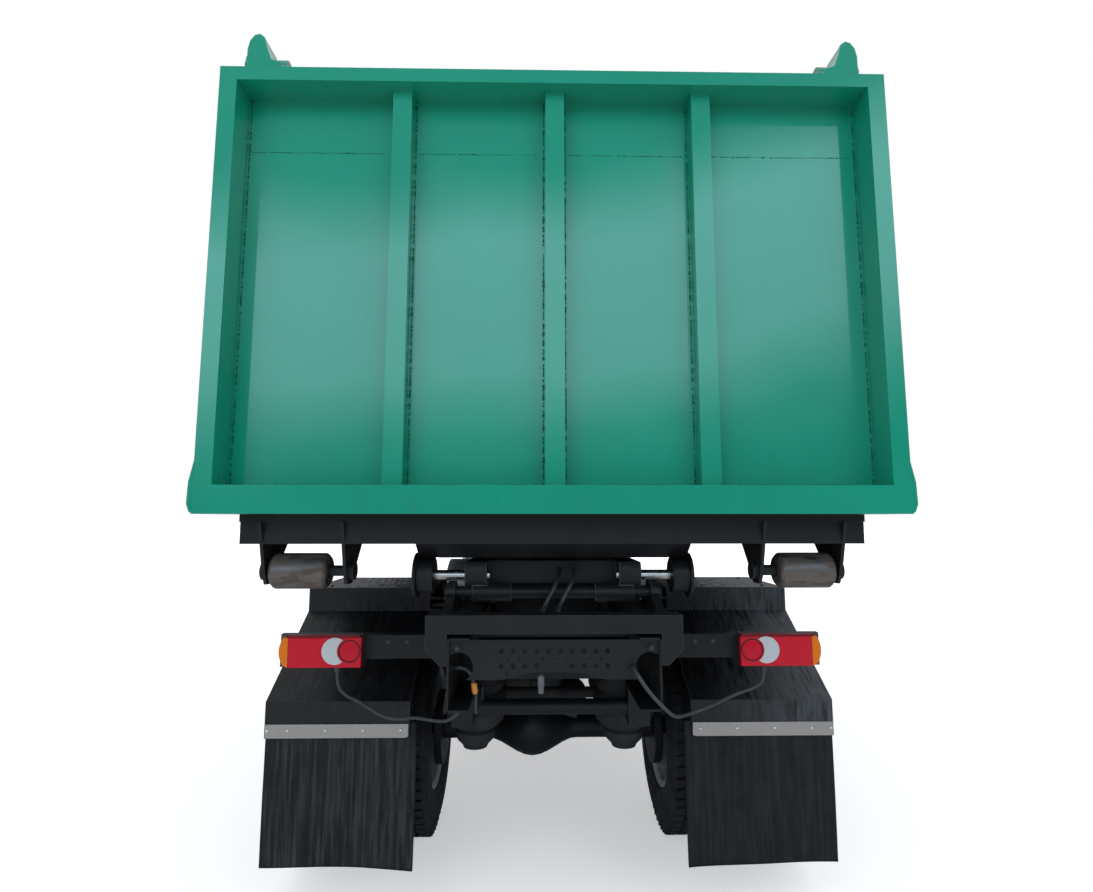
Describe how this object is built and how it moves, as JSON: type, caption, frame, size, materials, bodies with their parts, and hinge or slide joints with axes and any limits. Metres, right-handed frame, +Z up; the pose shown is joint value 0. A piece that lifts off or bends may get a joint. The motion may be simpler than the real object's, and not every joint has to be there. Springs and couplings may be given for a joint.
{
  "type": "hook lift truck",
  "caption": "Two-axle hook lift truck with a tilting hook frame and a green open container with a top-hinged tailgate.",
  "frame": {"origin": "on the ground, middle of the overall length and width", "axes": "+Y forwards along the truck, +X to its right, +Z up"},
  "size_m": [2.88, 7.3, 3.4739],
  "materials": {
    "chassis_black": "semi-gloss black paint",
    "bare_steel": "bright turned steel",
    "worn_steel": "bare steel with surface rust",
    "bellows_rubber": "matt",
    "engine_iron": "painted casting",
    "tank_alloy": "brushed",
    "strip_alloy": "weathered",
    "black_plastic": "grained",
    "flap_rubber": "matt",
    "lamp_red": "gloss",
    "lamp_clear": "gloss",
    "rod_chrome": "polished",
    "container_green": "gloss enamel",
    "cab_paint": "gloss enamel",
    "clear_glass": "clear",
    "seat_fabric": "woven",
    "dash_plastic": "grained",
    "cable_sheath": "corrugated sheath",
    "rim_paint": "silver enamel",
    "tyre_rubber": "matt"
  },
  "bodies": {
    "chassis": {"frame_rails": "chassis_black", "crossmembers": "chassis_black", "subframe": "chassis_black", "pivot_shaft": "chassis_black", "rear_axle": "chassis_black", "rear_suspension": "bellows_rubber", "front_axle": "chassis_black", "engine": "engine_iron", "fuel_tank": "tank_alloy", "side_boxes": "black_plastic", "side_guards": "tank_alloy", "rear_mudguards": "black_plastic", "front_mudguards": "black_plastic", "mud_flaps": "flap_rubber", "flap_strips": "strip_alloy", "light_bar": "chassis_black", "tail_lamps": "lamp_red", "front_bumper": "black_plastic", "headlamps": "lamp_clear", "lamp_cable_left": "cable_sheath", "lamp_cable_right": "cable_sheath", "inner_cable": "cable_sheath"},
    "guide_rollers": {"guide_rollers": "chassis_black"},
    "steering_left": {"knuckle_left": "chassis_black"},
    "steering_right": {"knuckle_right": "chassis_black"},
    "cab": {"cab_shell": "cab_paint", "cab_glass": "clear_glass", "seats": "seat_fabric", "dashboard": "dash_plastic", "mirrors": "black_plastic"},
    "tilt_frame": {"tilt_frame": "chassis_black", "guide_pins": "bare_steel"},
    "hook_and_container": {"jib": "chassis_black", "container_shell": "container_green", "container_base": "chassis_black"},
    "tailgate": {"tailgate": "container_green"},
    "cylinder_barrels": {"cylinder_barrels": "chassis_black"},
    "cylinder_rods": {"cylinder_rods": "rod_chrome"},
    "front_wheel_left": {"rim_front_left": "rim_paint", "tyre_front_left": "tyre_rubber"},
    "rear_wheels_left": {"rims_rear_left": "rim_paint", "tyres_rear_left": "tyre_rubber"},
    "door_left": {"door_left": "cab_paint", "door_glass_left": "clear_glass"},
    "ground_roller_left": {"ground_roller_left": "worn_steel"},
    "front_wheel_right": {"rim_front_right": "rim_paint", "tyre_front_right": "tyre_rubber"},
    "rear_wheels_right": {"rims_rear_right": "rim_paint", "tyres_rear_right": "tyre_rubber"},
    "door_right": {"door_right": "cab_paint", "door_glass_right": "clear_glass"},
    "ground_roller_right": {"ground_roller_right": "worn_steel"}
  },
  "joints": [
    {"name": "steer_left", "type": "hinge", "parent": "chassis", "child": "steering_left", "pos_m": [-0.88, 2.275, 0.52], "axis": [0, 0, 1], "range_deg": [-36, 36]},
    {"name": "steer_right", "type": "hinge", "parent": "chassis", "child": "steering_right", "pos_m": [0.88, 2.275, 0.52], "axis": [0, 0, 1], "range_deg": [-36, 36]},
    {"name": "tip", "type": "hinge", "parent": "chassis", "child": "tilt_frame", "pos_m": [0, -3.28, 1.36], "axis": [1, 0, 0], "range_deg": [0, 48]},
    {"name": "jib_slide", "type": "slide", "parent": "tilt_frame", "child": "hook_and_container", "axis": [0, -1, 0], "range_m": [0, 0.8]},
    {"name": "tailgate_hinge", "type": "hinge", "parent": "hook_and_container", "child": "tailgate", "pos_m": [0, -3.538, 3.4], "axis": [-1, 0, 0], "range_deg": [0, 80]},
    {"name": "barrel_swing", "type": "hinge", "parent": "chassis", "child": "cylinder_barrels", "pos_m": [0, -1.9, 1.09], "axis": [1, 0, 0], "range_deg": [0, 68.24]},
    {"name": "rod_stroke", "type": "slide", "parent": "cylinder_barrels", "child": "cylinder_rods", "axis": [0, 0.995, 0.0995], "range_m": [0, 0.9024]},
    {"name": "cab_tilt", "type": "hinge", "parent": "chassis", "child": "cab", "pos_m": [0, 3.38, 1.1], "axis": [-1, 0, 0], "range_deg": [0, 55]},
    {"name": "guide_roller_turn", "type": "hinge", "parent": "tilt_frame", "child": "guide_rollers", "pos_m": [0, -3.28, 1.428], "axis": [1, 0, 0], "continuous": true},
    {"name": "front_wheel_left_turn", "type": "hinge", "parent": "steering_left", "child": "front_wheel_left", "pos_m": [-1, 2.275, 0.52], "axis": [1, 0, 0], "continuous": true},
    {"name": "rear_wheels_left_turn", "type": "hinge", "parent": "chassis", "child": "rear_wheels_left", "pos_m": [-0.91, -2.225, 0.52], "axis": [1, 0, 0], "continuous": true},
    {"name": "door_left_hinge", "type": "hinge", "parent": "cab", "child": "door_left", "pos_m": [-1.166, 3.34, 1.9], "axis": [0, 0, -1], "range_deg": [0, 68]},
    {"name": "ground_roller_left_turn", "type": "hinge", "parent": "hook_and_container", "child": "ground_roller_left", "pos_m": [-0.946, -3.425, 1.457], "axis": [1, 0, 0], "continuous": true},
    {"name": "front_wheel_right_turn", "type": "hinge", "parent": "steering_right", "child": "front_wheel_right", "pos_m": [1, 2.275, 0.52], "axis": [1, 0, 0], "continuous": true},
    {"name": "rear_wheels_right_turn", "type": "hinge", "parent": "chassis", "child": "rear_wheels_right", "pos_m": [0.91, -2.225, 0.52], "axis": [1, 0, 0], "continuous": true},
    {"name": "door_right_hinge", "type": "hinge", "parent": "cab", "child": "door_right", "pos_m": [1.166, 3.34, 1.9], "axis": [0, 0, 1], "range_deg": [0, 68]},
    {"name": "ground_roller_right_turn", "type": "hinge", "parent": "hook_and_container", "child": "ground_roller_right", "pos_m": [0.946, -3.425, 1.457], "axis": [1, 0, 0], "continuous": true}
  ],
  "couplings": [
    {"joint": "steer_right", "follows": "steer_left", "ratio": 1},
    {"joint": "barrel_swing", "follows": "tip", "ratio": 1.4207},
    {"joint": "rod_stroke", "follows": "tip", "m_per_rad": 1.0759}
  ]
}
